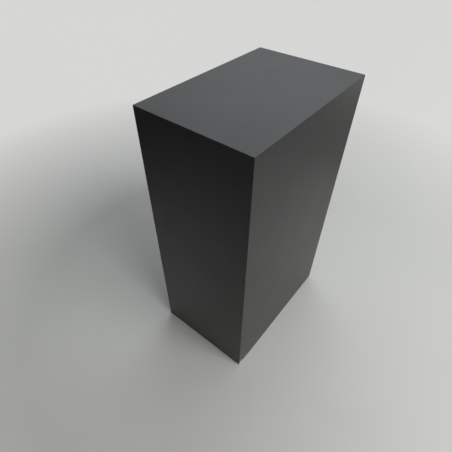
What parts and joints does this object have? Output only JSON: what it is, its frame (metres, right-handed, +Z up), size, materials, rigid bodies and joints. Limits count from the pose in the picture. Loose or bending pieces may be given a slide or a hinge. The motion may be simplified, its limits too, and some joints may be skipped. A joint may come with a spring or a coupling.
{
  "type": "display plinth",
  "caption": "Tall rectangular display plinth: a hollow mitred board box with a flat top, matt black, open below, standing on recessed screw levelling feet.",
  "frame": {"origin": "on the floor under the middle of the plinth", "axes": "+Z up to the display top; the front, one of the two narrow faces, faces -Y; +X to the right seen from the front"},
  "size_m": [0.4, 0.6, 1.02],
  "materials": {
    "black_lacquer": "MDF board with a dead flat black lacquer outside, raw inside",
    "plywood": "unfinished birch plywood",
    "softwood": "planed, unfinished",
    "zinc_steel": "bright zinc plated",
    "black_nylon": "moulded, fine matt",
    "grey_rubber": "matt"
  },
  "bodies": {
    "carcass": {"front_panel": "black_lacquer", "right_panel": "black_lacquer", "back_panel": "black_lacquer", "left_panel": "black_lacquer", "top_panel": "black_lacquer", "corner_tongue_front_left": "plywood", "corner_tongue_front_right": "plywood", "corner_tongue_back_right": "plywood", "corner_tongue_back_left": "plywood", "top_tongue_front": "plywood", "top_tongue_right": "plywood", "top_tongue_back": "plywood", "top_tongue_left": "plywood", "corner_post_front_left": "softwood", "corner_post_front_right": "softwood", "corner_post_back_right": "softwood", "corner_post_back_left": "softwood", "top_cleat_front": "softwood", "top_cleat_right": "softwood", "top_cleat_back": "softwood", "top_cleat_left": "softwood", "base_rail_front": "plywood", "base_rail_right": "plywood", "base_rail_back": "plywood", "base_rail_left": "plywood", "corner_plate_front_left": "plywood", "corner_plate_front_right": "plywood", "corner_plate_back_right": "plywood", "corner_plate_back_left": "plywood", "plate_screw_front_left_to_front_rail": "zinc_steel", "plate_screw_front_left_to_left_rail": "zinc_steel", "plate_screw_front_left_to_post": "zinc_steel", "plate_screw_front_right_to_right_rail": "zinc_steel", "plate_screw_front_right_to_front_rail": "zinc_steel", "plate_screw_front_right_to_post": "zinc_steel", "plate_screw_back_right_to_back_rail": "zinc_steel", "plate_screw_back_right_to_right_rail": "zinc_steel", "plate_screw_back_right_to_post": "zinc_steel", "plate_screw_back_left_to_left_rail": "zinc_steel", "plate_screw_back_left_to_back_rail": "zinc_steel", "plate_screw_back_left_to_post": "zinc_steel", "tee_nut_front_left": "zinc_steel", "tee_nut_front_right": "zinc_steel", "tee_nut_back_right": "zinc_steel", "tee_nut_back_left": "zinc_steel"},
    "foot_front_left": {"foot_pad_front_left": "black_nylon", "foot_sole_front_left": "grey_rubber"},
    "spindle_front_left": {"foot_spindle_front_left": "zinc_steel"},
    "foot_front_right": {"foot_pad_front_right": "black_nylon", "foot_sole_front_right": "grey_rubber"},
    "spindle_front_right": {"foot_spindle_front_right": "zinc_steel"},
    "foot_back_right": {"foot_pad_back_right": "black_nylon", "foot_sole_back_right": "grey_rubber"},
    "spindle_back_right": {"foot_spindle_back_right": "zinc_steel"},
    "foot_back_left": {"foot_pad_back_left": "black_nylon", "foot_sole_back_left": "grey_rubber"},
    "spindle_back_left": {"foot_spindle_back_left": "zinc_steel"}
  },
  "joints": [
    {"name": "foot_front_left_height", "type": "slide", "parent": "carcass", "child": "foot_front_left", "axis": [0, 0, -1], "range_m": [-0.002, 0.015]},
    {"name": "foot_front_left_turn", "type": "hinge", "parent": "foot_front_left", "child": "spindle_front_left", "pos_m": [-0.132, -0.232, 0.03], "axis": [0, 0, -1], "range_deg": [-480, 3600]},
    {"name": "foot_front_right_height", "type": "slide", "parent": "carcass", "child": "foot_front_right", "axis": [0, 0, -1], "range_m": [-0.002, 0.015]},
    {"name": "foot_front_right_turn", "type": "hinge", "parent": "foot_front_right", "child": "spindle_front_right", "pos_m": [0.132, -0.232, 0.03], "axis": [0, 0, -1], "range_deg": [-480, 3600]},
    {"name": "foot_back_right_height", "type": "slide", "parent": "carcass", "child": "foot_back_right", "axis": [0, 0, -1], "range_m": [-0.002, 0.015]},
    {"name": "foot_back_right_turn", "type": "hinge", "parent": "foot_back_right", "child": "spindle_back_right", "pos_m": [0.132, 0.232, 0.03], "axis": [0, 0, -1], "range_deg": [-480, 3600]},
    {"name": "foot_back_left_height", "type": "slide", "parent": "carcass", "child": "foot_back_left", "axis": [0, 0, -1], "range_m": [-0.002, 0.015]},
    {"name": "foot_back_left_turn", "type": "hinge", "parent": "foot_back_left", "child": "spindle_back_left", "pos_m": [-0.132, 0.232, 0.03], "axis": [0, 0, -1], "range_deg": [-480, 3600]}
  ],
  "couplings": [
    {"joint": "foot_front_left_turn", "follows": "foot_front_left_height", "rad_per_m": 4188.8},
    {"joint": "foot_front_right_turn", "follows": "foot_front_right_height", "rad_per_m": 4188.8},
    {"joint": "foot_back_right_turn", "follows": "foot_back_right_height", "rad_per_m": 4188.8},
    {"joint": "foot_back_left_turn", "follows": "foot_back_left_height", "rad_per_m": 4188.8}
  ]
}
